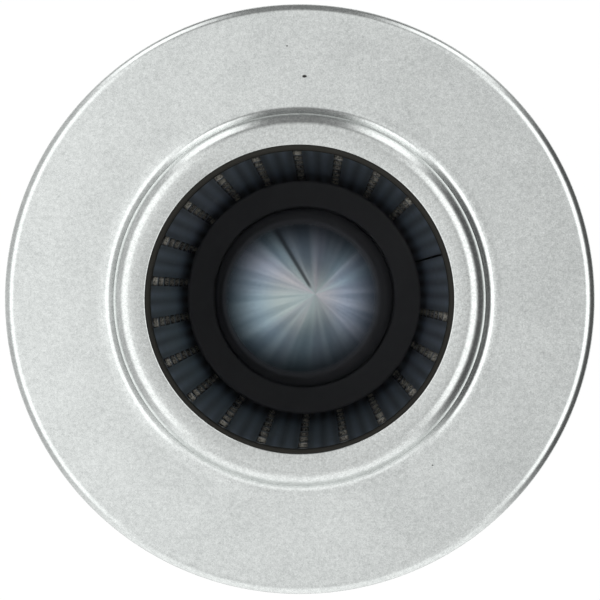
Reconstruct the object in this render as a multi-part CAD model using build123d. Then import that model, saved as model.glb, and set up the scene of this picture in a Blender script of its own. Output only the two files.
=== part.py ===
from build123d import *
import os
from math import asin, cos, floor, hypot, sin, sqrt

# Pleated hydraulic filter element, in millimetres.
# Z runs up the axis. The closed cap's flat underside is at 0, and the top of
# the open cap's raised collar is at overall_length.

# Whole element
overall_length = 240.0
cap_diameter = 150.0

# Pressed caps: sheet, outside bend at the rim, and height of the skirt
cap_sheet = 1.0
rim_radius = 2.9
skirt_height = 10.0

# Seal ring under the collar's lip. Its bore sets the bores above and below it.
seal_bore = 75.6
seal_gap = 0.2
seal_lead = 0.5

# Raised collar of the open cap: how far its lip stands back from the seal's
# bore, and how wide it is from there to its outside
lip_setback = 1.0
collar_width = 7.9
collar_height = 7.5
collar_edge_radius = 4.3
collar_root_radius = 3.1

# Raised middle of the closed cap, with a slight crown, clear of the tube
boss_clearance = 9.0
boss_height = 10.0
boss_edge_radius = 2.9
boss_root_radius = 1.0
boss_crown = 0.7

# Adhesive ring in each cap, and the gap kept at its round sides
potting_depth = 6.0
bond_gap = 0.1

# Rolled centre tube with an open butt seam. Its wall is bent in narrow flats,
# and each slot column runs down the middle of one flat.
tube_clearance = 0.1
tube_wall = 1.2
tube_embed = 4.0
seam_angle = 17.5
seam_gap = 0.4
column_pitches = 22
flats_per_pitch = 3
seam_margin_pitches = 1.5
slot_width = 2.4
slot_length = 27.0
slot_pitch = 32.0
slot_end_margin = 2.5

# Pleat pack: two support meshes with the filter media between them
pleat_count = 44
pleat_cap_gap = 3.0
pleat_tube_gap = 0.3
pleat_tip_width = 4.4
pleat_valley_width = 2.0
mesh_thickness = 0.3
media_thickness = 0.6
layer_gap = 0.05

# Clip that closes the pack along one pleat
clip_sheet = 0.4
clip_gap = 0.05
clip_depth = 9.0

# Bands that keep the pleats apart
band_count = 3
band_width = 6.0
band_thickness = 0.8
band_gap = 0.1

# Levels along the axis, worked out from the sizes above
face_level = overall_length - collar_height
face_underside = face_level - cap_sheet
lip_underside = overall_length - cap_sheet
closed_potting_top = cap_sheet + potting_depth
open_potting_bottom = face_underside - potting_depth
tube_bottom = closed_potting_top - tube_embed

# Radii, worked out from the sizes above
cap_radius = cap_diameter / 2
cap_inner_radius = cap_radius - cap_sheet
seal_radius = seal_bore / 2
lip_radius = seal_radius + lip_setback
collar_radius = lip_radius + collar_width
collar_inner_radius = collar_radius - cap_sheet
tube_inner_radius = seal_radius + tube_clearance
tube_outer_radius = tube_inner_radius + tube_wall
boss_radius = tube_inner_radius - boss_clearance
pack_thickness = 2 * mesh_thickness + media_thickness + 2 * layer_gap
tip_radius = cap_inner_radius - pleat_cap_gap
valley_radius = tube_outer_radius + pleat_tube_gap + pack_thickness


def turned(profile):
    """Revolves a profile, drawn as radius and height, round the axis."""
    return revolve(Plane.XZ * profile, Axis.Z)


def closed_profile(*lines):
    return make_face(Curve() + list(lines))


def flat_cut(corner, bend_radius):
    """Cuts a corner flat, so that the cut just touches a bend of this radius."""
    return chamfer(corner, bend_radius * (2 - sqrt(2)))


def bend_corners(profile, bends):
    """Bends a sheet's corners: kind of cut, radius, height and bend radius.

    Visible bends are true rounds (fillet) and hidden ones flat cuts. Of the two
    sides of a bend, the one that adds to the sheet comes first.
    """
    for cut, radius, height, bend_radius in bends:
        corner = profile.vertices().sort_by_distance((radius, height))[0]
        profile = cut(corner, bend_radius)
    return profile


def ring(inner_radius, outer_radius, bottom, top):
    """A rectangular ring section."""
    width, height = outer_radius - inner_radius, top - bottom
    centre = Pos(inner_radius + width / 2, bottom + height / 2)
    return centre * Rectangle(width, height)


def open_end_cap():
    """Pressed cap with a collar round its bore, a flat face and a skirt."""
    skirt_edge = face_level - skirt_height
    section = Polyline(
        (lip_radius, overall_length),
        (collar_radius, overall_length),
        (collar_radius, face_level),
        (cap_radius, face_level),
        (cap_radius, skirt_edge),
        (cap_inner_radius, skirt_edge),
        (cap_inner_radius, face_underside),
        (collar_inner_radius, face_underside),
        (collar_inner_radius, lip_underside),
        (lip_radius, lip_underside),
        close=True,
    )
    bends = [
        (flat_cut, collar_inner_radius, lip_underside, collar_edge_radius - cap_sheet),
        (fillet, collar_radius, overall_length, collar_edge_radius),
        (fillet, collar_radius, face_level, collar_root_radius),
        (flat_cut, collar_inner_radius, face_underside, collar_root_radius + cap_sheet),
        (flat_cut, cap_inner_radius, face_underside, rim_radius - cap_sheet),
        (fillet, cap_radius, face_level, rim_radius),
    ]
    return turned(bend_corners(make_face(section), bends))


def crown_arc(radius, edge_height):
    """Half of a shallow dome, level on the axis and boss_crown high."""
    sphere_radius = (radius**2 + boss_crown**2) / (2 * boss_crown)
    half_angle = asin(radius / sphere_radius) / 2
    middle = (
        sphere_radius * sin(half_angle),
        edge_height + boss_crown - sphere_radius * (1 - cos(half_angle)),
    )
    return ThreePointArc((0, edge_height + boss_crown), middle, (radius, edge_height))


def closed_end_cap():
    """Pressed cap whose crowned middle is raised into the element."""
    inner = boss_radius - cap_sheet
    dome_underside = boss_height - cap_sheet
    section = closed_profile(
        crown_arc(boss_radius, boss_height),
        Polyline(
            (boss_radius, boss_height),
            (boss_radius, cap_sheet),
            (cap_inner_radius, cap_sheet),
            (cap_inner_radius, skirt_height),
            (cap_radius, skirt_height),
            (cap_radius, 0),
            (inner, 0),
            (inner, dome_underside),
        ),
        crown_arc(inner, dome_underside),
        Line((0, dome_underside + boss_crown), (0, boss_height + boss_crown)),
    )
    bends = [
        (flat_cut, inner, dome_underside, boss_edge_radius - cap_sheet),
        (flat_cut, boss_radius, boss_height, boss_edge_radius),
        (flat_cut, boss_radius, cap_sheet, boss_root_radius),
        (flat_cut, inner, 0, boss_root_radius + cap_sheet),
        (flat_cut, cap_inner_radius, cap_sheet, rim_radius - cap_sheet),
        (fillet, cap_radius, 0, rim_radius),
    ]
    return turned(bend_corners(section, bends))


def potting_section(inner_radius, flat_level, free_level):
    """Adhesive ring that lies on a cap's flat and fills it to its skirt."""
    outer_radius = cap_inner_radius - bond_gap
    bottom, top = sorted((flat_level, free_level))
    section = ring(inner_radius, outer_radius, bottom, top)
    rim_bend = (flat_cut, outer_radius, flat_level, rim_radius - cap_sheet)
    return bend_corners(section, [rim_bend])


def open_end_potting():
    """Adhesive between the open cap's face and the pleats, round the tube."""
    inner_radius = tube_outer_radius + bond_gap
    return turned(potting_section(inner_radius, face_underside, open_potting_bottom))


def closed_end_potting():
    """Adhesive on the closed cap's flat, with a groove that holds the tube."""
    inner_radius = boss_radius + bond_gap
    section = potting_section(inner_radius, cap_sheet, closed_potting_top)
    root_bend = (flat_cut, inner_radius, cap_sheet, boss_root_radius)
    section = bend_corners(section, [root_bend])
    groove = ring(
        tube_inner_radius - bond_gap,
        tube_outer_radius + bond_gap,
        tube_bottom,
        closed_potting_top,
    )
    return turned(section - groove)


def collar_seal():
    """Seal ring that fills the collar, with a lead-in at the top of its bore."""
    outer_radius = collar_inner_radius - seal_gap
    section = ring(seal_radius, outer_radius, face_underside, lip_underside)
    edges = [
        (flat_cut, outer_radius, lip_underside, collar_edge_radius - cap_sheet),
        (chamfer, seal_radius, lip_underside, seal_lead),
    ]
    return turned(bend_corners(section, edges))


def slot_angles():
    """Angles of the slot columns, which leave the seam's two margins plain."""
    pitch = 360 / column_pitches
    columns = floor(column_pitches - 2 * seam_margin_pitches) + 1
    first = seam_angle + seam_margin_pitches * pitch
    return [first + column * pitch for column in range(columns)]


def slot_levels():
    """Centre heights of the slot rows, which fill the tube's free length."""
    free_length = face_underside - closed_potting_top
    room = free_length - 2 * slot_end_margin - slot_length
    steps = floor(room / slot_pitch)
    lowest = (face_underside + closed_potting_top - steps * slot_pitch) / 2
    return [lowest + step * slot_pitch for step in range(steps + 1)]


def tube_outline(radius):
    """Many-sided outline whose flats lie at this radius from the axis."""
    flats = column_pitches * flats_per_pitch
    outline = RegularPolygon(radius, flats, major_radius=False)
    turn = slot_angles()[0] - 180 / flats
    return Rot(0, 0, turn) * outline


def centre_tube():
    """Slotted sheet rolled to a tube, with its two long edges butted."""
    length = face_underside - tube_bottom
    section = tube_outline(tube_outer_radius) - tube_outline(tube_inner_radius)
    tube = Pos(0, 0, tube_bottom) * extrude(section, length)
    reach = 4 * tube_wall
    cutter = Box(reach, slot_width, slot_length)
    mean_radius = (tube_inner_radius + tube_outer_radius) / 2
    slots = [
        Rot(0, 0, angle) * Pos(mean_radius, 0, level) * cutter
        for angle in slot_angles()
        for level in slot_levels()
    ]
    middle = tube_bottom + length / 2
    seam = Rot(0, 0, seam_angle) * Pos(mean_radius, 0, middle)
    return tube - slots - seam * Box(reach, seam_gap, 2 * length)


def pleat_outline():
    """Outer line of the pleat pack. Pleat 0 is lowered for its clip."""
    points = []
    pitch = 360 / pleat_count
    for pleat in range(pleat_count):
        top = tip_radius
        if pleat == 0:
            top = tip_radius - clip_sheet - clip_gap
        tip = Rot(0, 0, pleat * pitch)
        valley = Rot(0, 0, (pleat + 0.5) * pitch)
        points += [
            (tip * Pos(top, -pleat_tip_width / 2)).position,
            (tip * Pos(top, pleat_tip_width / 2)).position,
            (valley * Pos(valley_radius, -pleat_valley_width / 2)).position,
            (valley * Pos(valley_radius, pleat_valley_width / 2)).position,
        ]
    return make_face(Polyline(*points, close=True))


def pleated_layer(inset, thickness):
    """One folded sheet of the pack, as deep as inset under its outer line."""
    outline = pleat_outline()
    outer = outline
    if inset:
        outer = offset(outline, -inset, kind=Kind.INTERSECTION)
    inner = offset(outline, -inset - thickness, kind=Kind.INTERSECTION)
    height = open_potting_bottom - closed_potting_top
    return Pos(0, 0, closed_potting_top) * extrude(outer - inner, height)


def outer_mesh():
    return pleated_layer(0, mesh_thickness)


def filter_media():
    return pleated_layer(mesh_thickness + layer_gap, media_thickness)


def inner_mesh():
    inset = mesh_thickness + media_thickness + 2 * layer_gap
    return pleated_layer(inset, mesh_thickness)


def pleat_clip():
    """Folded strip over the lowered pleat, flush with the other tips."""
    height = open_potting_bottom - closed_potting_top
    inside_width = pleat_tip_width + 2 * clip_gap
    outside = Rectangle(clip_depth, inside_width + 2 * clip_sheet)
    inside = Pos(-clip_sheet, 0) * Rectangle(clip_depth, inside_width)
    section = Pos(tip_radius - clip_depth / 2, 0) * (outside - inside)
    return Pos(0, 0, closed_potting_top) * extrude(section, height)


def pleat_band(number):
    """One of the bands, spread evenly over the pleats' free length."""
    free_bottom = skirt_height
    free_length = face_level - 2 * skirt_height
    centre = free_bottom + free_length * number / (band_count + 1)
    clip_half_width = pleat_tip_width / 2 + clip_gap + clip_sheet
    inner_radius = hypot(tip_radius, clip_half_width) + band_gap
    return turned(
        ring(
            inner_radius,
            inner_radius + band_thickness,
            centre - band_width / 2,
            centre + band_width / 2,
        )
    )


def pieces():
    named = {
        "open_end_cap": open_end_cap(),
        "closed_end_cap": closed_end_cap(),
        "open_end_potting": open_end_potting(),
        "closed_end_potting": closed_end_potting(),
        "collar_seal": collar_seal(),
        "centre_tube": centre_tube(),
        "outer_mesh": outer_mesh(),
        "filter_media": filter_media(),
        "inner_mesh": inner_mesh(),
        "pleat_clip": pleat_clip(),
    }
    for number in range(1, band_count + 1):
        named[f"pleat_band_{number}"] = pleat_band(number)
    return named


os.makedirs("parts", exist_ok=True)
for name, piece in pieces().items():
    export_step(piece, f"parts/{name}.step")
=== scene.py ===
import math
import bmesh
import bpy
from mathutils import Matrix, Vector


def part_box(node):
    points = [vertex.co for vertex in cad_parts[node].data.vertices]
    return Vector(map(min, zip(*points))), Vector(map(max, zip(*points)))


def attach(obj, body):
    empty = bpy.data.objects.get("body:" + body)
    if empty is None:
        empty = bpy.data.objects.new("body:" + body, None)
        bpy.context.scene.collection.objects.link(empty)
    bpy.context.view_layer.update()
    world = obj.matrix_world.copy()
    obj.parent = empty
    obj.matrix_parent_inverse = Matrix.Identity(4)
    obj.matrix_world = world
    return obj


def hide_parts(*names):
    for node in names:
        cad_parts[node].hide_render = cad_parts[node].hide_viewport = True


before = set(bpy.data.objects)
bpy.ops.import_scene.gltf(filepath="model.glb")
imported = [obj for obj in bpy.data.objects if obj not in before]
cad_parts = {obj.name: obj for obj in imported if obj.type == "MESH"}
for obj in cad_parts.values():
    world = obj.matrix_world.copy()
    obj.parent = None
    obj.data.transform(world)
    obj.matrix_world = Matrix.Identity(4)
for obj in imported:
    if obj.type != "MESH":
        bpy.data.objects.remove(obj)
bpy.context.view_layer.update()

# A pleated filter element, seen from straight above its open end.
# Sizes are in metres. Radii and levels come from the frame's boxes where a
# whole piece gives them, and the rest are named here in millimetres.
MM = 0.001
FULL_TURN = 2 * math.pi

# Overall radii and levels, read from the frame
CAP_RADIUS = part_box("open_end_cap")[1].x
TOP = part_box("open_end_cap")[1].z
SKIRT_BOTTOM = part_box("open_end_cap")[0].z
PLEAT_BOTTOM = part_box("outer_mesh")[0].z
PLEAT_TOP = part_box("outer_mesh")[1].z
TUBE_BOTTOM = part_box("centre_tube")[0].z
TUBE_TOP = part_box("centre_tube")[1].z

# Pressed caps
SHEET = 1.0 * MM
CUT_EDGE_BREAK = 0.12 * MM
RIM_BEND = 2.7 * MM
CLOSED_SKIRT_TOP = 10.0 * MM
LIP_RADIUS = 38.8 * MM
COLLAR_RADIUS = 47.1 * MM
COLLAR_SLOPE = math.tan(math.radians(2.5))
COLLAR_HEIGHT = 7.5 * MM
COLLAR_EDGE_BEND = 4.65 * MM
COLLAR_ROOT_BEND = 2.6 * MM
LIP_EDGE_BEND = 0.4 * MM
DISH_WIDTH = 3.5 * MM
DISH_RISE = 0.5 * MM
DISH_BEND = 16.0 * MM
BOSS_RADIUS = 28.9 * MM
BOSS_HEIGHT = 10.0 * MM
BOSS_CROWN = 0.8 * MM
BOSS_EDGE_BEND = 2.9 * MM
BOSS_ROOT_BEND = 1.0 * MM

# Centre tube
TUBE_RADIUS = 37.9 * MM
TUBE_WALL = 1.2 * MM
SEAM_ANGLE = math.radians(17.5)
SEAM_GAP = 0.4 * MM
COLUMN_PITCHES = 22
FLATS_PER_PITCH = 3
SLOT_COLUMNS = 20
SEAM_MARGIN_PITCHES = 1.5
SLOT_WIDTH = 2.4 * MM
SLOT_LENGTH = 27.0 * MM
SLOT_PITCH = 32.0 * MM
SLOT_ROWS = 7

# Seal and adhesive
SEAL_RADIUS = 37.8 * MM
SEAL_GAP = 0.2 * MM
SEAL_LEAD = 0.5 * MM
SEAL_EDGE_BEND = 0.1 * MM
SEAL_LEAD_BEND = 0.15 * MM
SEAL_SHIFT = -0.16 * MM
BOND_GAP = 0.1 * MM

# Pleat pack
PLEATS = 44
TIP_RADIUS = 71.0 * MM
TIP_WIDTH = 4.4 * MM
TIP_BEND = 1.7 * MM
VALLEY_WIDTH = 2.0 * MM
VALLEY_BEND = 0.7 * MM
MESH_THICKNESS = 0.3 * MM
MEDIA_THICKNESS = 0.6 * MM
LAYER_GAP = 0.05 * MM
PACK_THICKNESS = 2 * MESH_THICKNESS + MEDIA_THICKNESS + 2 * LAYER_GAP
PLEAT_TUBE_GAP = 0.3 * MM
VALLEY_RADIUS = TUBE_RADIUS + TUBE_WALL + PLEAT_TUBE_GAP + PACK_THICKNESS
CLIP_SHEET = 0.4 * MM
CLIP_GAP = 0.05 * MM
CLIP_DEPTH = 9.0 * MM
BAND_WIDTH = 6.0 * MM
BAND_THICKNESS = 0.8 * MM

# A long dark mark on the closed cap's crown
RADIAL_MARK = ((2.7 * MM, 2.2 * MM, 0), (-11.1 * MM, 25.1 * MM, 0))
RADIAL_MARK_WIDTH = 2.4 * MM
# Where the crown's painted reflection rays meet, and the middle of its painted bright
# reflection haze
PAINTED_RAYS_CENTRE = (3.6 * MM, 1.0 * MM, 0)
PAINTED_REFLECTION_CENTRE = (-0.85 * MM, -0.3 * MM, 0)

# How fine the meshes are
TURN_STEPS = 288
BEND_STEPS = 10
CROWN_RINGS = 12
WELD = 1e-6
SMOOTH_ANGLE = math.radians(28)


# Working with operators

def deselect_all():
    if bpy.context.object and bpy.context.object.mode != "OBJECT":
        bpy.ops.object.mode_set(mode="OBJECT")
    bpy.ops.object.select_all(action="DESELECT")


def activate(piece):
    deselect_all()
    piece.select_set(True)
    bpy.context.view_layer.objects.active = piece


def new_piece(name, add, **settings):
    """Adds a primitive with one of the mesh operators and names it."""
    deselect_all()
    add(**settings)
    piece = bpy.context.object
    piece.name = name
    piece.data.name = name
    return piece


def select_faces(piece, test):
    """Selects the faces whose middle passes a test."""
    bpy.ops.mesh.select_all(action="DESELECT")
    cage = bmesh.from_edit_mesh(piece.data)
    for face in cage.faces:
        face.select_set(test(face.calc_center_median()))
    bmesh.update_edit_mesh(piece.data)


def weld_and_face_out():
    bpy.ops.mesh.select_all(action="SELECT")
    bpy.ops.mesh.remove_doubles(threshold=WELD)
    bpy.ops.mesh.normals_make_consistent(inside=False)


def smooth(piece, angle=SMOOTH_ANGLE):
    activate(piece)
    bpy.ops.object.shade_smooth_by_angle(angle=angle)


def finish_piece(piece, node, slot, *materials):
    """Gives a piece its materials, hangs it under the root body and hides the CAD node that it
    stands for.
    """
    piece.data.materials.clear()
    for one in materials:
        piece.data.materials.append(one)
    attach(piece, "root")
    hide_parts(node)


def paint_faces(piece, test):
    """Gives a piece's second material to the faces that pass a test."""
    for face in piece.data.polygons:
        if test(face):
            face.material_index = 1


# Turned pieces

def draw_line(name, points):
    """Draws an open line of points with extruded vertices."""
    piece = new_piece(name, bpy.ops.mesh.primitive_plane_add, size=MM)
    bpy.ops.object.mode_set(mode="EDIT")
    bpy.ops.mesh.select_all(action="SELECT")
    bpy.ops.mesh.merge(type="CENTER")
    bpy.ops.transform.translate(value=points[0])
    for previous, point in zip(points, points[1:]):
        step = Vector(point) - Vector(previous)
        bpy.ops.mesh.extrude_vertices_move(TRANSFORM_OT_translate={"value": step})
    return piece


def rounded_corner(before, corner, after, radius, steps):
    """Points of the arc that rounds a corner."""
    to_before = (before - corner).normalized()
    to_after = (after - corner).normalized()
    half = to_before.angle(to_after) / 2
    middle = (to_before + to_after).normalized()
    centre = corner + middle * radius / math.sin(half)
    start = corner + to_before * radius / math.tan(half) - centre
    end = corner + to_after * radius / math.tan(half) - centre
    sweep = start.angle_signed(end)
    points = []
    for number in range(steps + 1):
        turn = -sweep * number / steps
        cos_turn, sin_turn = math.cos(turn), math.sin(turn)
        points.append(centre + Vector((
            start.x * cos_turn - start.y * sin_turn,
            start.x * sin_turn + start.y * cos_turn,
        )))
    return points


def rounded_line(corners, closed, steps=BEND_STEPS):
    """A line through corners of x, y and bend radius, with its bends rounded."""
    places = [Vector((x, y)) for x, y, bend in corners]
    points = []
    for number, (x, y, bend) in enumerate(corners):
        at_end = not closed and number in (0, len(corners) - 1)
        if bend and not at_end:
            after = places[(number + 1) % len(places)]
            points += rounded_corner(places[number - 1], places[number], after, bend, steps)
        else:
            points.append(places[number])
    return points


def turned(name, corners, closed=True, steps=TURN_STEPS):
    """Spins a profile round the axis. Each corner is a radius, height and bend."""
    profile = rounded_line(corners, closed)
    if closed:
        profile.append(profile[0])
    piece = draw_line(name, [(point.x, 0, point.y) for point in profile])
    bpy.ops.mesh.select_all(action="SELECT")
    bpy.ops.mesh.remove_doubles(threshold=WELD)
    bpy.ops.mesh.spin(
        steps=steps, angle=FULL_TURN, center=(0, 0, 0), axis=(0, 0, 1)
    )
    weld_and_face_out()
    bpy.ops.object.mode_set(mode="OBJECT")
    smooth(piece)
    return piece


def open_cap():
    """The pressed cap with its collar, flat face, rolled rim and skirt."""
    face = TOP - COLLAR_HEIGHT
    lip = TOP - COLLAR_SLOPE * (COLLAR_RADIUS - COLLAR_EDGE_BEND - LIP_RADIUS)
    crest = TOP + COLLAR_SLOPE * COLLAR_EDGE_BEND
    inner = CAP_RADIUS - SHEET
    collar_inner = COLLAR_RADIUS - SHEET
    return turned("open_cap", [
        (LIP_RADIUS, lip, LIP_EDGE_BEND),
        (COLLAR_RADIUS, crest, COLLAR_EDGE_BEND),
        (COLLAR_RADIUS, face + DISH_RISE, COLLAR_ROOT_BEND),
        (COLLAR_RADIUS + DISH_WIDTH, face, DISH_BEND),
        (CAP_RADIUS, face, RIM_BEND),
        (CAP_RADIUS, SKIRT_BOTTOM, CUT_EDGE_BREAK),
        (inner, SKIRT_BOTTOM, 0),
        (inner, face - SHEET, RIM_BEND - SHEET),
        (collar_inner, face - SHEET, COLLAR_ROOT_BEND + SHEET),
        (collar_inner, crest - SHEET, COLLAR_EDGE_BEND - SHEET),
        (LIP_RADIUS, lip - SHEET, 0),
    ])


def closed_cap():
    """The pressed cap whose crowned middle stands up into the bore."""
    inner = CAP_RADIUS - SHEET
    boss_inner = BOSS_RADIUS - SHEET
    step = (BOSS_RADIUS - BOSS_EDGE_BEND) / CROWN_RINGS
    radii = [step * ring for ring in range(CROWN_RINGS)]
    rises = [BOSS_CROWN * (1 - (radius / BOSS_RADIUS) ** 2) for radius in radii]
    top = [(radius, BOSS_HEIGHT + rise, 0) for radius, rise in zip(radii, rises)]
    underside = [(radius, height - SHEET, 0) for radius, height, bend in top]
    return turned("closed_cap", top + [
        (BOSS_RADIUS, BOSS_HEIGHT, BOSS_EDGE_BEND),
        (BOSS_RADIUS, SHEET, BOSS_ROOT_BEND),
        (inner, SHEET, RIM_BEND - SHEET),
        (inner, CLOSED_SKIRT_TOP, 0),
        (CAP_RADIUS, CLOSED_SKIRT_TOP, CUT_EDGE_BREAK),
        (CAP_RADIUS, 0, RIM_BEND),
        (boss_inner, 0, BOSS_ROOT_BEND + SHEET),
        (boss_inner, BOSS_HEIGHT - SHEET, BOSS_EDGE_BEND - SHEET),
    ] + underside[:0:-1] + underside[:1], closed=False)


def faces_bore(face):
    """Whether a face of the closed cap is one that the bore shows."""
    outward = Vector((face.center.x, face.center.y, 0))
    inside = outward.length < BOSS_RADIUS + BOSS_ROOT_BEND and face.center.z > SHEET
    return inside and face.normal.z > -0.01 and face.normal.dot(outward) > -WELD


def seal_ring():
    """Seal under the collar's lip, seated a little off centre in its gap."""
    bottom, top = TUBE_TOP, TOP - SHEET - SEAL_GAP
    outer = COLLAR_RADIUS - SHEET - SEAL_GAP
    ring = turned("seal_ring", [
        (SEAL_RADIUS, bottom, SEAL_EDGE_BEND),
        (SEAL_RADIUS, top - SEAL_LEAD, SEAL_LEAD_BEND),
        (SEAL_RADIUS + SEAL_LEAD, top, SEAL_EDGE_BEND),
        (outer, top, COLLAR_EDGE_BEND - SHEET),
        (outer, bottom, 0),
    ])
    ring.location.y = SEAL_SHIFT
    activate(ring)
    bpy.ops.object.transform_apply(location=True, rotation=True, scale=True)
    return ring


def potting_rings():
    """The cast adhesive in each cap. It creeps a little up what it meets."""
    creep = 0.5 * MM
    outer = CAP_RADIUS - SHEET - BOND_GAP
    tube_outer = TUBE_RADIUS + TUBE_WALL + BOND_GAP
    boss = BOSS_RADIUS + BOND_GAP
    groove_inner = TUBE_RADIUS - BOND_GAP
    rim = RIM_BEND - SHEET
    upper = turned("open_potting", [
        (tube_outer, PLEAT_TOP, 0),
        (tube_outer, TUBE_TOP, 0),
        (outer, TUBE_TOP, rim),
        (outer, PLEAT_TOP - creep, 0),
        (outer - creep, PLEAT_TOP, creep),
        (outer - 3 * creep, PLEAT_TOP, 0),
    ])
    lower = turned("closed_potting", [
        (boss, SHEET, BOSS_ROOT_BEND),
        (boss, PLEAT_BOTTOM + creep, 0),
        (boss + creep, PLEAT_BOTTOM, creep),
        (groove_inner - creep, PLEAT_BOTTOM, creep),
        (groove_inner, PLEAT_BOTTOM + creep, 0),
        (groove_inner, TUBE_BOTTOM, 0),
        (tube_outer, TUBE_BOTTOM, 0),
        (tube_outer, PLEAT_BOTTOM, 0),
        (outer - creep, PLEAT_BOTTOM, creep),
        (outer, PLEAT_BOTTOM + creep, 0),
        (outer, SHEET, rim),
    ])
    return upper, lower


# Centre tube

def slot_levels():
    """Centre heights of the slots, spread over the tube's free length."""
    lowest = (PLEAT_BOTTOM + TUBE_TOP - (SLOT_ROWS - 1) * SLOT_PITCH) / 2
    return [lowest + row * SLOT_PITCH for row in range(SLOT_ROWS)]


def tube_flat(name, slotted):
    """One upright flat of the tube, facing the axis, with or without slots."""
    flats = COLUMN_PITCHES * FLATS_PER_PITCH
    width = 2 * TUBE_RADIUS * math.tan(math.pi / flats)
    height = TUBE_TOP - TUBE_BOTTOM
    piece = new_piece(
        name,
        bpy.ops.mesh.primitive_plane_add,
        size=1,
        location=(TUBE_RADIUS, 0, (TUBE_TOP + TUBE_BOTTOM) / 2),
        rotation=(0, -math.pi / 2, 0),
    )
    piece.scale = (height, width, 1)
    bpy.ops.object.transform_apply(location=True, rotation=True, scale=True)
    bpy.ops.object.mode_set(mode="EDIT")
    for level in slot_levels():
        for end in (-1, 1):
            bpy.ops.mesh.select_all(action="SELECT")
            cut = level + end * SLOT_LENGTH / 2
            bpy.ops.mesh.bisect(plane_co=(0, 0, cut), plane_no=(0, 0, 1))
    if slotted:
        for side in (-1, 1):
            bpy.ops.mesh.select_all(action="SELECT")
            bpy.ops.mesh.bisect(
                plane_co=(0, side * SLOT_WIDTH / 2, 0), plane_no=(0, 1, 0)
            )
        bpy.ops.mesh.select_mode(type="FACE")
        select_faces(piece, lambda middle: abs(middle.y) < SLOT_WIDTH / 2 and any(
            abs(middle.z - level) < SLOT_LENGTH / 2 for level in slot_levels()
        ))
        bpy.ops.mesh.delete(type="FACE")
        bpy.ops.mesh.select_mode(type="VERT")
    bpy.ops.object.mode_set(mode="OBJECT")
    return piece


def turned_copy(piece, angle):
    """A copy with its own mesh, turned about the axis."""
    copy = piece.copy()
    copy.data = piece.data.copy()
    bpy.context.scene.collection.objects.link(copy)
    copy.rotation_euler.z = angle
    activate(copy)
    bpy.ops.object.transform_apply(location=True, rotation=True, scale=True)
    return copy


def join(pieces, name):
    activate(pieces[0])
    for piece in pieces:
        piece.select_set(True)
    bpy.ops.object.join()
    pieces[0].name = name
    pieces[0].data.name = name
    return pieces[0]


def remove(piece):
    bpy.data.objects.remove(piece, do_unlink=True)


def cut_seam_side(piece, angle, side):
    """Trims the flat beside the seam back by half the seam's gap."""
    activate(piece)
    bpy.ops.object.mode_set(mode="EDIT")
    bpy.ops.mesh.select_all(action="SELECT")
    across = Vector((-math.sin(angle), math.cos(angle), 0))
    bpy.ops.mesh.bisect(
        plane_co=across * side * SEAM_GAP / 2,
        plane_no=across * side,
        clear_inner=True,
    )
    bpy.ops.object.mode_set(mode="OBJECT")


def centre_tube():
    """Slotted sheet in narrow flats round the bore, butted at its seam."""
    flats = COLUMN_PITCHES * FLATS_PER_PITCH
    step = FULL_TURN / flats
    first_column = SEAM_MARGIN_PITCHES * FLATS_PER_PITCH - 0.5
    plain = tube_flat("plain_flat", False)
    slotted = tube_flat("slotted_flat", True)
    copies = []
    for flat in range(flats):
        column, beside = divmod(flat - first_column, FLATS_PER_PITCH)
        is_column = beside == 0 and 0 <= column < SLOT_COLUMNS
        source = slotted if is_column else plain
        copies.append(turned_copy(source, SEAM_ANGLE + (flat + 0.5) * step))
    cut_seam_side(copies[0], SEAM_ANGLE, 1)
    cut_seam_side(copies[-1], SEAM_ANGLE, -1)
    for source in (plain, slotted):
        remove(source)
    tube = join(copies, "slotted_tube")
    activate(tube)
    bpy.ops.object.mode_set(mode="EDIT")
    bpy.ops.mesh.select_all(action="SELECT")
    bpy.ops.mesh.remove_doubles(threshold=WELD)
    bpy.ops.object.mode_set(mode="OBJECT")
    wall = tube.modifiers.new("wall", "SOLIDIFY")
    wall.thickness = TUBE_WALL
    wall.offset = -1
    wall.use_even_offset = True
    breaks = tube.modifiers.new("edges", "BEVEL")
    breaks.width = CUT_EDGE_BREAK
    breaks.segments = 2
    breaks.limit_method = "ANGLE"
    breaks.angle_limit = math.radians(50)
    for modifier in ("wall", "edges"):
        bpy.ops.object.modifier_apply(modifier=modifier)
    bpy.ops.object.shade_flat()
    return tube


def is_cut_edge(face):
    """Whether a face of the tube is a cut edge, and not a side of its sheet."""
    outward = Vector((face.center.x, face.center.y, 0)).normalized()
    return abs(face.normal.dot(outward)) < 0.8


# Pleat pack

def shifted_corner(before, corner, after, inset):
    """A corner of a bent line, moved so that both its sides shift by inset."""
    first = (corner - before).normalized()
    second = (after - corner).normalized()
    normals = [Vector((side.y, -side.x)) for side in (first, second)]
    total = normals[0] + normals[1]
    return corner - total * inset / (1 + normals[0].dot(normals[1]))


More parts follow.
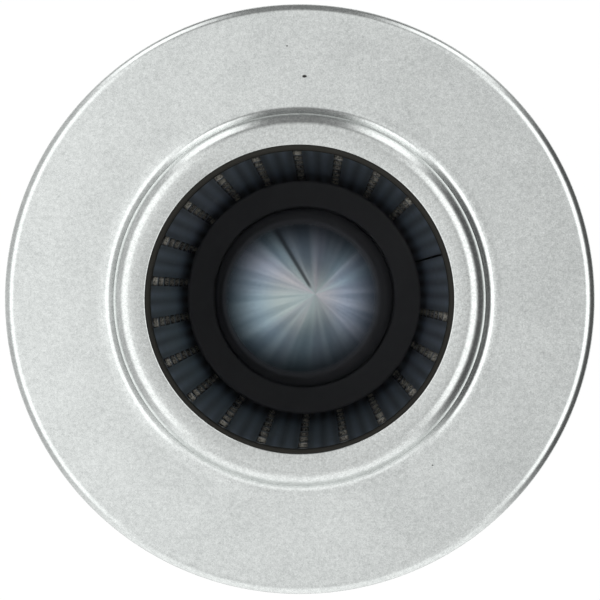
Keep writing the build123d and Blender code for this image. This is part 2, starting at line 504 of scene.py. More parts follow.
def pleat_path(inset, steps):
    """Outline of pleat 0, from valley to valley, inset from the outer line.

    Its bends share their centres with those of the outer line.
    """
    half_pitch = math.pi / PLEATS
    tip_bend = TIP_BEND - inset
    valley_bend = VALLEY_BEND + inset

    def turned_point(angle, radius, across):
        return Vector((
            radius * math.cos(angle) - across * math.sin(angle),
            radius * math.sin(angle) + across * math.cos(angle),
        ))

    corners = [
        turned_point(-2 * half_pitch, TIP_RADIUS, TIP_WIDTH / 2),
        turned_point(-half_pitch, VALLEY_RADIUS, -VALLEY_WIDTH / 2),
        turned_point(-half_pitch, VALLEY_RADIUS, VALLEY_WIDTH / 2),
        turned_point(0, TIP_RADIUS, -TIP_WIDTH / 2),
        turned_point(0, TIP_RADIUS, TIP_WIDTH / 2),
        turned_point(half_pitch, VALLEY_RADIUS, -VALLEY_WIDTH / 2),
        turned_point(half_pitch, VALLEY_RADIUS, VALLEY_WIDTH / 2),
        turned_point(2 * half_pitch, TIP_RADIUS, -TIP_WIDTH / 2),
    ]
    shifted = [
        shifted_corner(before, corner, after, inset)
        for before, corner, after in zip(corners, corners[1:], corners[2:])
    ]
    valley_left, valley_start, tip_left, tip_right, valley_end, valley_right = shifted
    start = (valley_left + valley_start) / 2
    end = (valley_end + valley_right) / 2
    line = [start, valley_start, tip_left, tip_right, valley_end, end]
    bends = [0, valley_bend, tip_bend, tip_bend, valley_bend, 0]
    corners = [(place.x, place.y, bend) for place, bend in zip(line, bends)]
    return rounded_line(corners, closed=False, steps=steps)


def pleated_sheet(name, inset, thickness, steps, rows):
    """A sheet folded in pleats round the tube, with its own thickness."""
    path = pleat_path(inset, steps)
    sheet = draw_line(name, [(point.x, point.y, PLEAT_BOTTOM) for point in path])
    bpy.ops.mesh.select_all(action="SELECT")
    rise = (PLEAT_TOP - PLEAT_BOTTOM) / rows
    for row in range(rows):
        bpy.ops.mesh.extrude_region_move(
            TRANSFORM_OT_translate={"value": (0, 0, rise)}
        )
    bpy.ops.object.mode_set(mode="OBJECT")
    unroll(sheet, path)
    bpy.ops.object.mode_set(mode="EDIT")
    bpy.ops.mesh.select_all(action="SELECT")
    bpy.ops.mesh.spin(
        steps=PLEATS, dupli=True, angle=FULL_TURN, center=(0, 0, 0), axis=(0, 0, 1)
    )
    bpy.ops.mesh.select_all(action="SELECT")
    bpy.ops.mesh.remove_doubles(threshold=5 * WELD)
    bpy.ops.mesh.normals_make_consistent(inside=False)
    bpy.ops.object.mode_set(mode="OBJECT")
    lower_clipped_pleat(sheet)
    wall = sheet.modifiers.new("thickness", "SOLIDIFY")
    wall.thickness = thickness
    wall.offset = -1
    activate(sheet)
    bpy.ops.object.modifier_apply(modifier="thickness")
    smooth(sheet, math.radians(40))
    return sheet


def lower_clipped_pleat(sheet):
    """Draws the tip of pleat 0 in, to make room for its clip."""
    for vertex in sheet.data.vertices:
        place = vertex.co
        in_pleat = abs(math.atan2(place.y, place.x)) < math.pi / PLEATS
        if in_pleat and place.x > TIP_RADIUS - CLIP_DEPTH:
            place.x -= CLIP_SHEET + CLIP_GAP


def unroll(sheet, path):
    """Lays the sheet's own map flat: distance along the fold, and height."""
    lengths = [0.0]
    for before, after in zip(path, path[1:]):
        lengths.append(lengths[-1] + (after - before).length)
    layer = sheet.data.uv_layers.new(name="cloth")
    for loop in sheet.data.loops:
        place = sheet.data.vertices[loop.vertex_index].co
        flat = Vector((place.x, place.y))
        nearest = min(range(len(path)), key=lambda number: (path[number] - flat).length)
        layer.data[loop.index].uv = (lengths[nearest], place.z)


def pleat_clip():
    """A strip folded over one pleat, with rounded folds."""
    half = TIP_WIDTH / 2 + CLIP_GAP + CLIP_SHEET / 2
    face = TIP_RADIUS - CLIP_SHEET / 2
    foot = TIP_RADIUS - CLIP_DEPTH
    fold = 0.6 * MM
    path = rounded_line([
        (foot, -half, 0),
        (face, -half, fold),
        (face, half, fold),
        (foot, half, 0),
    ], closed=False)
    clip = draw_line("clip", [(point.x, point.y, PLEAT_BOTTOM) for point in path])
    bpy.ops.mesh.select_all(action="SELECT")
    bpy.ops.mesh.extrude_region_move(
        TRANSFORM_OT_translate={"value": (0, 0, PLEAT_TOP - PLEAT_BOTTOM)}
    )
    bpy.ops.object.mode_set(mode="OBJECT")
    wall = clip.modifiers.new("sheet", "SOLIDIFY")
    wall.thickness = CLIP_SHEET
    wall.offset = 0
    activate(clip)
    bpy.ops.object.modifier_apply(modifier="sheet")
    bpy.ops.object.mode_set(mode="EDIT")
    weld_and_face_out()
    bpy.ops.object.mode_set(mode="OBJECT")
    smooth(clip)
    return clip


def pleat_band(number):
    """A cast resin band that sinks a little between the pleats."""
    low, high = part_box(f"pleat_band_{number}")
    middle = (low.z + high.z) / 2
    inner = high.x - BAND_THICKNESS
    outer = high.x
    half = BAND_WIDTH / 2
    shoulder = 0.35 * MM
    band = turned(f"band_{number}", [
        (inner, middle - half, 0),
        (outer, middle - half, shoulder),
        (outer, middle + half, shoulder),
        (inner, middle + half, 0),
    ], steps=PLEATS * 8)
    sink = 0.35 * MM
    for vertex in band.data.vertices:
        angle = math.atan2(vertex.co.y, vertex.co.x)
        wave = (1 - math.cos(angle * PLEATS)) / 2
        drift = math.sin(3 * angle + number) + math.sin(7 * angle + 2 * number)
        edge = (vertex.co.z - middle) / half
        radius = math.hypot(vertex.co.x, vertex.co.y)
        scale = (radius - sink * wave) / radius
        vertex.co.x *= scale
        vertex.co.y *= scale
        vertex.co.z += edge * 0.2 * MM * drift
    return band


# Shader parts

def group(name, inputs, outputs):
    """A new shader node group with named sockets."""
    tree = bpy.data.node_groups.new(name, "ShaderNodeTree")
    for label, kind, value in inputs:
        socket = tree.interface.new_socket(
            name=label, in_out="INPUT", socket_type=kind
        )
        if value is not None:
            socket.default_value = value
    for label, kind in outputs:
        tree.interface.new_socket(name=label, in_out="OUTPUT", socket_type=kind)
    return tree, tree.nodes.new("NodeGroupInput"), tree.nodes.new("NodeGroupOutput")


def node(tree, kind, inputs=None, **settings):
    """A node with its settings, and its inputs linked or set."""
    made = tree.nodes.new(kind)
    for key, value in settings.items():
        setattr(made, key, value)
    for key, value in (inputs or {}).items():
        if isinstance(value, bpy.types.NodeSocket):
            tree.links.new(value, made.inputs[key])
        else:
            made.inputs[key].default_value = value
    return made


def math_node(tree, operation, *values):
    return node(
        tree, "ShaderNodeMath", dict(enumerate(values)), operation=operation
    ).outputs[0]


def vector_math(tree, operation, *values):
    return node(
        tree, "ShaderNodeVectorMath", dict(enumerate(values)), operation=operation
    ).outputs[0]


def scale_vector(tree, vector, factor):
    return node(
        tree, "ShaderNodeVectorMath", {0: vector, "Scale": factor}, operation="SCALE"
    ).outputs[0]


def noise(tree, vector, scale, detail=3.0, roughness=0.5, distortion=0.0):
    return node(
        tree,
        "ShaderNodeTexNoise",
        {
            "Vector": vector,
            "Scale": scale,
            "Detail": detail,
            "Roughness": roughness,
            "Distortion": distortion,
        },
    ).outputs["Fac"]


def length_of(tree, vector):
    return node(
        tree, "ShaderNodeVectorMath", {0: vector}, operation="LENGTH"
    ).outputs["Value"]


def dot_of(tree, first, second):
    return node(
        tree, "ShaderNodeVectorMath", {0: first, 1: second}, operation="DOT_PRODUCT"
    ).outputs["Value"]


def remap(tree, value, low, high, to_low=0.0, to_high=1.0):
    return node(
        tree,
        "ShaderNodeMapRange",
        {0: value, 1: low, 2: high, 3: to_low, 4: to_high},
    ).outputs[0]


def remap_soft(tree, value, low, high, to_low, to_high):
    made = node(
        tree,
        "ShaderNodeMapRange",
        {0: value, 1: low, 2: high, 3: to_low, 4: to_high},
        interpolation_type="SMOOTHSTEP",
    )
    return made.outputs[0]


def smooth_step(tree, value, low, high):
    """0 up to low and 1 from high on, with a soft change between."""
    return remap_soft(tree, value, low, high, 0.0, 1.0)


def mix_colour(tree, factor, first, second, blend_type="MIX"):
    return node(
        tree,
        "ShaderNodeMix",
        {0: factor, 6: first, 7: second},
        data_type="RGBA",
        blend_type=blend_type,
    ).outputs[2]


def plating_group():
    """Fine mottling of zinc plating: a tint, dark pits and a height."""
    tree, given, result = group(
        "plating mottle",
        [("Vector", "NodeSocketVector", None), ("Grain", "NodeSocketFloat", 1.0)],
        [("Tint", "NodeSocketFloat"), ("Pits", "NodeSocketFloat"),
         ("Height", "NodeSocketFloat")],
    )
    scaled = scale_vector(tree, given.outputs["Vector"], given.outputs["Grain"])
    cloud = noise(tree, scaled, 60.0, 4.0, 0.6)
    grain = noise(tree, scaled, 900.0, 3.0, 0.7)
    fine = noise(tree, scaled, 2400.0, 2.0, 0.7)
    blend = math_node(tree, "ADD", math_node(tree, "MULTIPLY", grain, 0.45),
                      math_node(tree, "MULTIPLY", fine, 0.55))
    tint = math_node(tree, "ADD", math_node(tree, "MULTIPLY", cloud, 0.16),
                     math_node(tree, "MULTIPLY", blend, 0.84))
    large = remap(tree, noise(tree, scaled, 420.0, 5.0, 0.7), 0.62, 0.72)
    small = remap(tree, noise(tree, scaled, 1700.0, 3.0, 0.7), 0.66, 0.74)
    pits = math_node(tree, "MAXIMUM", math_node(tree, "MULTIPLY", large, 0.5), small)
    tree.links.new(tint, result.inputs["Tint"])
    tree.links.new(pits, result.inputs["Pits"])
    tree.links.new(blend, result.inputs["Height"])
    return tree


def scratch_group():
    """Hair scratches: thin bent lines on a patch of the surface."""
    tree, given, result = group(
        "hair scratches",
        [("Vector", "NodeSocketVector", None), ("Turn", "NodeSocketFloat", 0.0),
         ("Amount", "NodeSocketFloat", 0.5)],
        [("Mask", "NodeSocketFloat")],
    )
    turned_vector = node(
        tree,
        "ShaderNodeVectorRotate",
        {"Vector": given.outputs["Vector"], "Angle": given.outputs["Turn"]},
        rotation_type="Z_AXIS",
    ).outputs[0]
    stretched = vector_math(tree, "MULTIPLY", turned_vector, (14.0, 420.0, 420.0))
    line = noise(tree, stretched, 1.0, 2.0, 0.5, 0.6)
    off_line = math_node(tree, "ABSOLUTE", math_node(tree, "SUBTRACT", line, 0.5))
    thin = remap(tree, off_line, 0.0, 0.012, 1.0, 0.0)
    patch = noise(tree, turned_vector, 38.0, 2.0, 0.5)
    chosen = remap(tree, patch, 0.56, 0.66)
    mask = math_node(tree, "MULTIPLY", thin, chosen)
    mask = math_node(tree, "MULTIPLY", mask, given.outputs["Amount"])
    tree.links.new(mask, result.inputs["Mask"])
    return tree


def place_group(tree, source, **inputs):
    return node(tree, "ShaderNodeGroup", inputs, node_tree=source).outputs


def material(name):
    """A new material with its Principled shader and object coordinates."""
    made = bpy.data.materials.new(name)
    made.use_nodes = True
    tree = made.node_tree
    shader = tree.nodes["Principled BSDF"]
    place = tree.nodes.new("ShaderNodeTexCoord").outputs["Object"]
    return made, tree, shader, place


def bump(tree, shader, height, distance, strength=1.0):
    made = node(
        tree,
        "ShaderNodeBump",
        {"Height": height, "Distance": distance, "Strength": strength},
    )
    tree.links.new(made.outputs["Normal"], shader.inputs["Normal"])


# Materials

def collar_wear(tree, place, plate):
    """More and darker mottling on the collar's top, which handling has rubbed."""
    parts = node(tree, "ShaderNodeSeparateXYZ", {"Vector": place}).outputs
    on_collar = remap(tree, parts["Z"], TOP - 1.2 * MM, TOP - 0.3 * MM)
    rubbed = remap(tree, noise(tree, place, 1300.0, 4.0, 0.75), 0.5, 0.66, 0.14, 0.46)
    worn = math_node(tree, "MAXIMUM", rubbed, math_node(tree, "MULTIPLY", plate["Pits"], 0.6))
    return math_node(tree, "MULTIPLY", on_collar, worn)


def zinc_plating(name, mottle, scratches, roughness, marks=()):
    """Bright zinc: satin metal with fine mottling and hair scratches.

    Each mark is a small dark speck: x, y and half its width.
    """
    made, tree, shader, place = material(name)
    plate = place_group(tree, mottle, Vector=place, Grain=1.0)
    first = place_group(tree, scratches, Vector=place, Turn=0.5, Amount=0.7)
    second = place_group(tree, scratches, Vector=place, Turn=2.2, Amount=0.5)
    scratched = math_node(tree, "MAXIMUM", first["Mask"], second["Mask"])
    tone = remap(tree, plate["Tint"], 0.32, 0.68)
    colour = mix_colour(tree, tone, (0.56, 0.575, 0.57, 1), (0.97, 0.985, 0.975, 1))
    pits = math_node(tree, "MULTIPLY", plate["Pits"], 0.5)
    colour = mix_colour(tree, pits, colour, (0.3, 0.31, 0.31, 1))
    colour = mix_colour(tree, collar_wear(tree, place, plate), colour, (0.4, 0.4, 0.39, 1))
    shine = math_node(tree, "MULTIPLY", scratched, 0.3)
    colour = mix_colour(tree, shine, colour, (0.95, 0.96, 0.97, 1))
    for x, y, half_width in marks:
        away = vector_math(tree, "SUBTRACT", place, (x, y, TOP - COLLAR_HEIGHT))
        away = vector_math(tree, "MULTIPLY", away, (0.7, 1.2, 0.5))
        ragged = math_node(
            tree, "ADD", length_of(tree, away),
            math_node(tree, "MULTIPLY", noise(tree, place, 2500.0), half_width * 0.6),
        )
        speck = remap(tree, ragged, half_width * 0.9, half_width * 1.3, 1.0, 0.0)
        colour = mix_colour(tree, speck, colour, (0.03, 0.028, 0.025, 1))
    tree.links.new(colour, shader.inputs["Base Color"])
    shader.inputs["Metallic"].default_value = 1.0
    rough = remap(tree, plate["Tint"], 0.3, 0.7, roughness - 0.03, roughness + 0.05)
    tree.links.new(rough, shader.inputs["Roughness"])
    height = math_node(
        tree, "SUBTRACT", plate["Height"], math_node(tree, "MULTIPLY", scratched, 0.5)
    )
    bump(tree, shader, height, 0.02 * MM, 0.6)
    return made


def painted_crown_reflection(tree, around, radius):
    """How dark the crown's painted reflection haze is: darker outwards, and sooner along Y
    than X.
    """
    outwards = remap_soft(tree, radius, 12 * MM, 27 * MM, 0.84, 0.07)
    along_y = remap_soft(
        tree, math_node(tree, "COSINE", math_node(tree, "MULTIPLY", around, 2.0)),
        -0.9, 0.8, 1.0, 0.0,
    )
    share = remap_soft(tree, radius, 1 * MM, 14 * MM, 0.1, 0.62)
    dimmed = math_node(tree, "SUBTRACT", 1.0, math_node(tree, "MULTIPLY", along_y, share))
    return math_node(tree, "MULTIPLY", outwards, dimmed)


def painted_crown_rays(tree, from_middle, around, radius):
    """Painted reflection: soft rays out from a middle, whose tint drifts from ray to ray."""
    ring = node(
        tree, "ShaderNodeCombineXYZ",
        {
            "X": math_node(tree, "MULTIPLY", math_node(tree, "COSINE", around), 5.0),
            "Y": math_node(tree, "MULTIPLY", math_node(tree, "SINE", around), 5.0),
            "Z": math_node(tree, "MULTIPLY", radius, 20.0),
        },
    ).outputs[0]
    rays = remap(tree, noise(tree, ring, 0.95, 2.0, 0.5), 0.36, 0.64)
    clear = smooth_step(tree, from_middle, 1 * MM, 11 * MM)
    rays = math_node(tree, "MULTIPLY_ADD", math_node(tree, "SUBTRACT", rays, 0.6), clear, 0.6)
    colour = mix_colour(tree, rays, (0.52, 0.60, 0.65, 1), (0.90, 0.96, 0.98, 1))
    drift = remap(tree, noise(tree, ring, 0.3, 1.0, 0.5), 0.4, 0.6)
    tint = mix_colour(tree, drift, (0.95, 1.02, 1.0, 1), (1.06, 0.97, 1.0, 1))
    colour = mix_colour(tree, 1.0, colour, tint, "MULTIPLY")
    bluer = smooth_step(tree, radius, 6 * MM, 16 * MM)
    tint = mix_colour(tree, bluer, (1, 1, 1, 1), (0.89, 1.0, 1.14, 1))
    return mix_colour(tree, 1.0, colour, tint, "MULTIPLY")


def crown_plating_and_painted_reflection(mottle):
    """The crown's plating, with a painted hazy bluish reflection, painted rays and a long
    mark.

    A film of adhesive dulls it towards its edge.
    """
    made, tree, shader, place = material("crown_zinc_painted_reflection")
    plate = place_group(tree, mottle, Vector=place, Grain=0.6)
    flat = vector_math(tree, "MULTIPLY", place, (1, 1, 0))
    radius = length_of(tree, vector_math(tree, "SUBTRACT", flat, PAINTED_REFLECTION_CENTRE))
    off_middle = vector_math(tree, "SUBTRACT", flat, PAINTED_RAYS_CENTRE)
    parts = node(tree, "ShaderNodeSeparateXYZ", {"Vector": off_middle}).outputs
    around = math_node(tree, "ARCTAN2", parts["Y"], parts["X"])
    # Painted reflection: the rays and the haze's falloff are painted into the base colour.
    colour = painted_crown_rays(tree, length_of(tree, off_middle), around, radius)
    tone = remap(tree, plate["Tint"], 0.35, 0.65, 0.9, 1.08)
    level = math_node(tree, "MULTIPLY", tone, painted_crown_reflection(tree, around, radius))
    colour = scale_vector(tree, colour, level)
    start, end = Vector(RADIAL_MARK[0]), Vector(RADIAL_MARK[1])
    along = (end - start).normalized()
    from_start = vector_math(tree, "SUBTRACT", flat, tuple(start))
    run = dot_of(tree, from_start, tuple(along))
    side = dot_of(tree, from_start, (-along.y, along.x, 0))
    length = (end - start).length
    half = remap(tree, run, 0.0, length, 0.5 * MM, RADIAL_MARK_WIDTH / 2)
    off = math_node(tree, "DIVIDE", math_node(tree, "ABSOLUTE", side), half)
    line = smooth_step(tree, off, 1.5, 0.1)
    begun = smooth_step(tree, run, 0.0, 2.5 * MM)
    ended = smooth_step(tree, run, length, length - 3 * MM)
    mark = math_node(tree, "MULTIPLY", line, math_node(tree, "MULTIPLY", begun, ended))
    mark = math_node(tree, "MULTIPLY", mark, 0.85)
    colour = mix_colour(tree, mark, colour, (0.03, 0.035, 0.042, 1))
    film = smooth_step(tree, radius, 23 * MM, 27.5 * MM)
    colour = mix_colour(tree, film, colour, (0.36, 0.36, 0.39, 1))
    tree.links.new(colour, shader.inputs["Base Color"])
    bare = math_node(tree, "SUBTRACT", 1.0, film)
    tree.links.new(bare, shader.inputs["Metallic"])
    rough = remap(tree, plate["Tint"], 0.3, 0.7, 0.2, 0.27)
    rough = math_node(tree, "MULTIPLY_ADD", film, 0.35, rough)
    tree.links.new(rough, shader.inputs["Roughness"])
    bump(tree, shader, plate["Height"], 0.02 * MM, 0.5)
    return made


def rubber():
    made, tree, shader, place = material("seal_rubber")
    cloud = noise(tree, place, 260.0, 4.0, 0.6)
    colour = mix_colour(tree, cloud, (0.012, 0.011, 0.009, 1), (0.026, 0.024, 0.019, 1))
    tree.links.new(colour, shader.inputs["Base Color"])
    tree.links.new(remap(tree, cloud, 0.3, 0.7, 0.6, 0.8), shader.inputs["Roughness"])
    shader.inputs["Specular IOR Level"].default_value = 0.3
    bump(tree, shader, noise(tree, place, 1500.0, 3.0), 0.02 * MM, 0.5)
    return made


def adhesive(name, dark, pale):
    """Cast adhesive, clouded between a dark and a paler grey."""
    made, tree, shader, place = material(name)
    cloud = noise(tree, place, 90.0, 3.0, 0.5)
    colour = mix_colour(
        tree, cloud, (dark, dark, 1.06 * dark, 1), (pale, pale, 1.06 * pale, 1)
    )
    tree.links.new(colour, shader.inputs["Base Color"])
    tree.links.new(remap(tree, cloud, 0.3, 0.7, 0.42, 0.6), shader.inputs["Roughness"])
    bump(tree, shader, noise(tree, place, 400.0, 3.0), 0.05 * MM, 0.5)
    return made


def turn_from_seam(tree, place):
    parts = node(tree, "ShaderNodeSeparateXYZ", {"Vector": place}).outputs
    around = math_node(tree, "ARCTAN2", parts["Y"], parts["X"])
    return math_node(tree, "SUBTRACT", around, SEAM_ANGLE)


def on_column(tree, place, half_width):
    """Mask of the slot columns' middle lines, soft over a half width."""
    turn = turn_from_seam(tree, place)
    pitches = math_node(tree, "MULTIPLY", turn, COLUMN_PITCHES / FULL_TURN)
    number = math_node(tree, "SUBTRACT", pitches, SEAM_MARGIN_PITCHES)
    nearest = math_node(tree, "ROUND", number)
    off = math_node(tree, "ABSOLUTE", math_node(tree, "SUBTRACT", number, nearest))
    reach = half_width * COLUMN_PITCHES / (FULL_TURN * TUBE_RADIUS)
    near = smooth_step(tree, off, reach, 0.25 * reach)
    wrapped = math_node(tree, "FLOORED_MODULO", nearest, float(COLUMN_PITCHES))
    slotted = math_node(tree, "LESS_THAN", wrapped, SLOT_COLUMNS - 0.5)
    return math_node(tree, "MULTIPLY", near, slotted)


def column_scuffs(tree, place):
    """Pale torn specks all the way down each column of slots."""
    specks = remap(tree, noise(tree, place, 1600.0, 3.0, 0.7), 0.44, 0.58)
    mask = math_node(tree, "MULTIPLY", specks, on_column(tree, place, 1.2 * MM))
    return math_node(tree, "MULTIPLY", mask, 0.85)


def tube_steel(scratches):
    """Dark blued sheet with a painted soft upright sheen down the middle of each flat, and
    painted shade deeper in the bore.
    """
    made, tree, shader, place = material("tube_steel")
    lines = vector_math(tree, "MULTIPLY", place, (900.0, 900.0, 9.0))
    rolled = noise(tree, lines, 1.0, 3.0, 0.6)
    cloud = noise(tree, place, 60.0, 3.0, 0.5)
    tone = math_node(tree, "ADD", math_node(tree, "MULTIPLY", rolled, 0.5),
                     math_node(tree, "MULTIPLY", cloud, 0.5))
    colour = mix_colour(tree, remap(tree, tone, 0.35, 0.65),
                        (0.16, 0.19, 0.25, 1), (0.34, 0.40, 0.49, 1))
    turn = turn_from_seam(tree, place)
    flats = COLUMN_PITCHES * FLATS_PER_PITCH
    # Painted sheen: the middle of each flat is painted lighter.
    wave = math_node(tree, "COSINE", math_node(tree, "MULTIPLY", turn, flats))
    middle = remap(tree, wave, -1.0, 1.0, 1.1, 0.3)
    # Painted shade: the wall is painted darker deeper down the bore.
    height = node(tree, "ShaderNodeSeparateXYZ", {"Vector": place}).outputs["Z"]
    painted_bore_shade = remap(tree, height, 130 * MM, 230 * MM, 0.7, 0.97)
    colour = scale_vector(tree, colour, math_node(tree, "MULTIPLY", middle, painted_bore_shade))
    scuffed = column_scuffs(tree, place)
    colour = mix_colour(tree, scuffed, colour, (0.42, 0.4, 0.35, 1))
    marks = place_group(tree, scratches, Vector=place, Turn=1.2, Amount=0.4)["Mask"]
    colour = mix_colour(tree, marks, colour, (0.6, 0.62, 0.64, 1))
    tree.links.new(colour, shader.inputs["Base Color"])
    bare = math_node(tree, "SUBTRACT", 1.0, scuffed)
    tree.links.new(bare, shader.inputs["Metallic"])
    tree.links.new(remap(tree, tone, 0.3, 0.7, 0.34, 0.46), shader.inputs["Roughness"])
    bump(tree, shader, rolled, 0.02 * MM, 0.4)
    return made


def cut_steel():
    """Bare cut edges of the slots, pale, torn and rough. Their blotches are partly torn metal
    and partly painted uneven light on the slot ledges.
    """
    made, tree, shader, place = material("cut_steel")
    torn = noise(tree, vector_math(tree, "MULTIPLY", place, (1.0, 1.0, 0.3)), 2200.0, 4.0, 0.7)
    blotch = noise(tree, place, 260.0, 2.0, 0.5)
    tone = math_node(tree, "ADD", math_node(tree, "MULTIPLY", torn, 0.7),
                     math_node(tree, "MULTIPLY", blotch, 0.3))
    # The blotches stand partly for torn metal and partly for painted uneven light and shade on
    # the ledges.
    tone = remap(tree, tone, 0.43, 0.58)
    tone = math_node(tree, "MULTIPLY", tone, on_column(tree, place, 1.5 * MM))
    colour = mix_colour(tree, tone, (0.05, 0.05, 0.05, 1), (0.56, 0.53, 0.46, 1))
    tree.links.new(colour, shader.inputs["Base Color"])
    shader.inputs["Metallic"].default_value = 0.2
    shader.inputs["Roughness"].default_value = 0.6
    bump(tree, shader, torn, 0.1 * MM, 0.8)
    return made


def woven_mesh():
    """Fine wire mesh over the pale media, on the sheet's own map."""
    made, tree, shader, place = material("woven_mesh")
    layer = node(tree, "ShaderNodeUVMap", uv_map="cloth").outputs["UV"]
    pitch = 0.55 * MM
    scaled = scale_vector(tree, layer, math.pi / pitch)
    parts = node(tree, "ShaderNodeSeparateXYZ", {"Vector": scaled}).outputs
    warp = math_node(tree, "ABSOLUTE", math_node(tree, "SINE", parts["X"]))
    weft = math_node(tree, "ABSOLUTE", math_node(tree, "SINE", parts["Y"]))
    wires = math_node(tree, "MAXIMUM", warp, weft)
    wire_mask = remap(tree, wires, 0.72, 0.86)
    cloud = noise(tree, place, 40.0, 3.0, 0.5)
    media = mix_colour(tree, cloud, (0.62, 0.60, 0.54, 1), (0.74, 0.72, 0.66, 1))
    colour = mix_colour(tree, wire_mask, media, (0.42, 0.43, 0.44, 1))
    tree.links.new(colour, shader.inputs["Base Color"])
    tree.links.new(remap(tree, wire_mask, 0, 1, 0.85, 0.45), shader.inputs["Roughness"])
    bump(tree, shader, wires, 0.12 * MM, 0.8)
    return made


def fibre_media():
    made, tree, shader, place = material("fibre_media")
    fibre = noise(tree, place, 1200.0, 4.0, 0.7)
    colour = mix_colour(tree, fibre, (0.66, 0.64, 0.58, 1), (0.78, 0.76, 0.7, 1))
    tree.links.new(colour, shader.inputs["Base Color"])
    shader.inputs["Roughness"].default_value = 0.9
    bump(tree, shader, fibre, 0.05 * MM, 0.5)
    return made


def cast_resin():
    made, tree, shader, place = material("cast_resin")
    cloud = noise(tree, place, 120.0, 4.0, 0.6)
    colour = mix_colour(tree, cloud, (0.55, 0.5, 0.38, 1), (0.68, 0.64, 0.52, 1))
    tree.links.new(colour, shader.inputs["Base Color"])
    tree.links.new(remap(tree, cloud, 0.3, 0.7, 0.3, 0.5), shader.inputs["Roughness"])
    bump(tree, shader, noise(tree, place, 350.0, 3.0), 0.08 * MM, 0.5)
    return made


# Floor, light and camera

CAMERA_HEIGHT = 0.8
FLOOR_RADIUS = 0.3
VIEW_OFFSET = Vector((5.2 * MM, 2.4 * MM, 0))
AIM = Vector((0.15 * MM, -0.18 * MM, 0))
VIEW_WIDTH = 150.7 * MM
SENSOR = 36.0

# The tent's brightness overhead, how steeply it leans to one side, and the
# angles from overhead, in degrees, between which that lean fades in
OVERHEAD = 0.78
OVERHEAD_LEAN = 1.25
LEAN_DIRECTION = (-0.98, -0.17, 0)
LEAN_FADE = (24, 6)

# Its cards: azimuth, half width, nearest and furthest angle from overhead and
# soft edge, all in degrees, and brightness
CARDS = [
    (0, 180, 66, 180, 12, 0.55),
    (270, 48, 56, 180, 14, 1.05),
    (0, 42, 64, 180, 14, 0.1),
    (90, 30, 50, 180, 12, 0.23),
    (60, 11, 60, 102, 7, 1.5),
    (120, 12, 65, 108, 7, 1.5),
    (180, 50, 22, 62, 10, 1.4),
    (4, 44, 22, 56, 8, 1.5),
]


def add_camera():
    data = bpy.data.cameras.new("camera")
    camera = bpy.data.objects.new("camera", data)
    bpy.context.scene.collection.objects.link(camera)
    target = AIM + Vector((0, 0, TOP))
    camera.location = Vector((0, 0, TOP + CAMERA_HEIGHT)) + VIEW_OFFSET
    away = camera.location - target
    camera.rotation_euler = (
        math.atan2(-away.y, away.z),
        math.atan2(away.x, math.hypot(away.y, away.z)),
        0,
    )
    data.sensor_width = SENSOR
    data.lens = SENSOR * CAMERA_HEIGHT / VIEW_WIDTH
    data.clip_end = 20
    bpy.context.scene.camera = camera


def add_floor():
    """A pale floor that the camera sees as white, with the part's shadow."""
    floor = new_piece(
        "floor", bpy.ops.mesh.primitive_circle_add,
        vertices=96, radius=FLOOR_RADIUS, fill_type="NGON",
    )
    made = bpy.data.materials.new("pale_floor")
    made.use_nodes = True
    tree = made.node_tree
    shader = tree.nodes["Principled BSDF"]
    shader.inputs["Base Color"].default_value = (0.82, 0.82, 0.82, 1)
    shader.inputs["Roughness"].default_value = 0.9
    glow = node(tree, "ShaderNodeEmission", {"Color": (1, 1, 1, 1), "Strength": 1.05})
    seen = node(tree, "ShaderNodeLightPath").outputs["Is Camera Ray"]
    share = math_node(tree, "MULTIPLY", seen, 0.9)
    blend = node(
        tree, "ShaderNodeMixShader",
        {0: share, 1: shader.outputs[0], 2: glow.outputs[0]},
    )
    output = tree.nodes["Material Output"]
    tree.links.new(blend.outputs[0], output.inputs["Surface"])
    floor.data.materials.append(made)


def studio_card(tree, level, azimuth, half_width, near, far, soft):
    """Where a card stands round the part, as a mask over directions.

    Angles are in degrees. Near and far are measured from straight overhead.
    """
    around = math.radians(azimuth)
    facing = (math.cos(around), math.sin(around), 0)
    aside = math_node(tree, "ARCCOSINE", dot_of(tree, level["flat"], facing))
    aside = math_node(tree, "DEGREES", aside)
    across = smooth_step(tree, aside, half_width + soft, half_width - soft)
    above = smooth_step(tree, level["tilt"], near - soft, near + soft)
    below = smooth_step(tree, level["tilt"], far + soft, far - soft)
    return math_node(tree, "MULTIPLY", across, math_node(tree, "MULTIPLY", above, below))


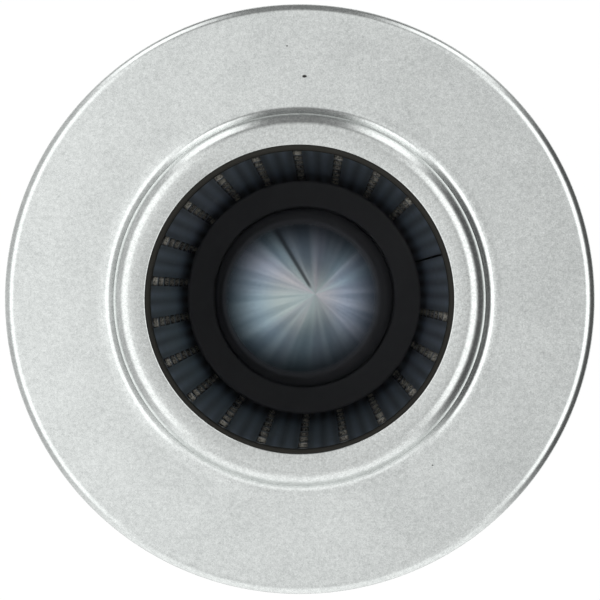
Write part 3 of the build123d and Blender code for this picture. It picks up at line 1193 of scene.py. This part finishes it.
def add_world():
    """A studio tent with its cards: each lightens or darkens its directions."""
    world = bpy.data.worlds.new("studio")
    bpy.context.scene.world = world
    world.use_nodes = True
    tree = world.node_tree
    direction = tree.nodes.new("ShaderNodeTexCoord").outputs["Generated"]
    direction = vector_math(tree, "NORMALIZE", direction)
    height = node(tree, "ShaderNodeSeparateXYZ", {"Vector": direction}).outputs["Z"]
    flat = vector_math(tree, "MULTIPLY", direction, (1, 1, 0))
    level = {
        "flat": vector_math(tree, "NORMALIZE", flat),
        "tilt": math_node(tree, "DEGREES", math_node(tree, "ARCCOSINE", height)),
    }
    lean = dot_of(tree, direction, LEAN_DIRECTION)
    lean = math_node(tree, "MULTIPLY", lean, OVERHEAD_LEAN)
    near_top = smooth_step(tree, level["tilt"], *LEAN_FADE)
    light = math_node(tree, "MULTIPLY_ADD", lean, near_top, OVERHEAD)
    for azimuth, half_width, near, far, soft, brightness in CARDS:
        mask = studio_card(tree, level, azimuth, half_width, near, far, soft)
        light = node(
            tree, "ShaderNodeMix", {0: mask, 2: light, 3: brightness}
        ).outputs[0]
    seen = node(tree, "ShaderNodeLightPath").outputs["Is Camera Ray"]
    light = node(tree, "ShaderNodeMix", {0: seen, 2: light, 3: 1.0}).outputs[0]
    tint = mix_colour(tree, seen, (0.982, 1.0, 0.994, 1), (1, 1, 1, 1))
    background = tree.nodes["Background"]
    tree.links.new(tint, background.inputs["Color"])
    tree.links.new(light, background.inputs["Strength"])


def build_pieces():
    mottle = plating_group()
    scratches = scratch_group()
    specks = [
        (1.2 * MM, 56.5 * MM, 0.5 * MM),
        (-3.2 * MM, 64.2 * MM, 0.22 * MM),
        (33.7 * MM, -42.1 * MM, 0.2 * MM),
    ]
    plating = zinc_plating("zinc_plating", mottle, scratches, 0.18, specks)
    clip_plating = zinc_plating("clip_zinc", mottle, scratches, 0.28)
    finish_piece(open_cap(), "open_end_cap", "cap_plating", plating)
    closed = closed_cap()
    finish_piece(closed, "closed_end_cap", "cap_plating", plating, crown_plating_and_painted_reflection(mottle))
    paint_faces(closed, faces_bore)
    finish_piece(seal_ring(), "collar_seal", "seal", rubber())
    upper, lower = potting_rings()
    finish_piece(upper, "open_end_potting", "potting", adhesive("glue", 0.04, 0.07))
    # The closed end's adhesive is the same dark adhesive, painted a paler grey as painted
    # light for the dim floor of the bore.
    finish_piece(lower, "closed_end_potting", "potting", adhesive("glue_painted_lighter", 0.27, 0.4))
    tube = centre_tube()
    finish_piece(tube, "centre_tube", "tube_steel", tube_steel(scratches), cut_steel())
    paint_faces(tube, is_cut_edge)
    mesh = woven_mesh()
    media_inset = MESH_THICKNESS + LAYER_GAP
    inner_inset = media_inset + MEDIA_THICKNESS + LAYER_GAP
    outer = pleated_sheet("outer_sheet", 0, MESH_THICKNESS, steps=6, rows=12)
    media = pleated_sheet("media_sheet", media_inset, MEDIA_THICKNESS, steps=4, rows=1)
    inner = pleated_sheet("inner_sheet", inner_inset, MESH_THICKNESS, steps=4, rows=1)
    finish_piece(outer, "outer_mesh", "support_mesh", mesh)
    finish_piece(media, "filter_media", "media", fibre_media())
    finish_piece(inner, "inner_mesh", "support_mesh", mesh)
    finish_piece(pleat_clip(), "pleat_clip", "clip_steel", clip_plating)
    resin = cast_resin()
    for number in (1, 2, 3):
        finish_piece(pleat_band(number), f"pleat_band_{number}", "band", resin)


bpy.context.scene.view_settings.view_transform = "Standard"
add_camera()
add_world()
add_floor()
build_pieces()
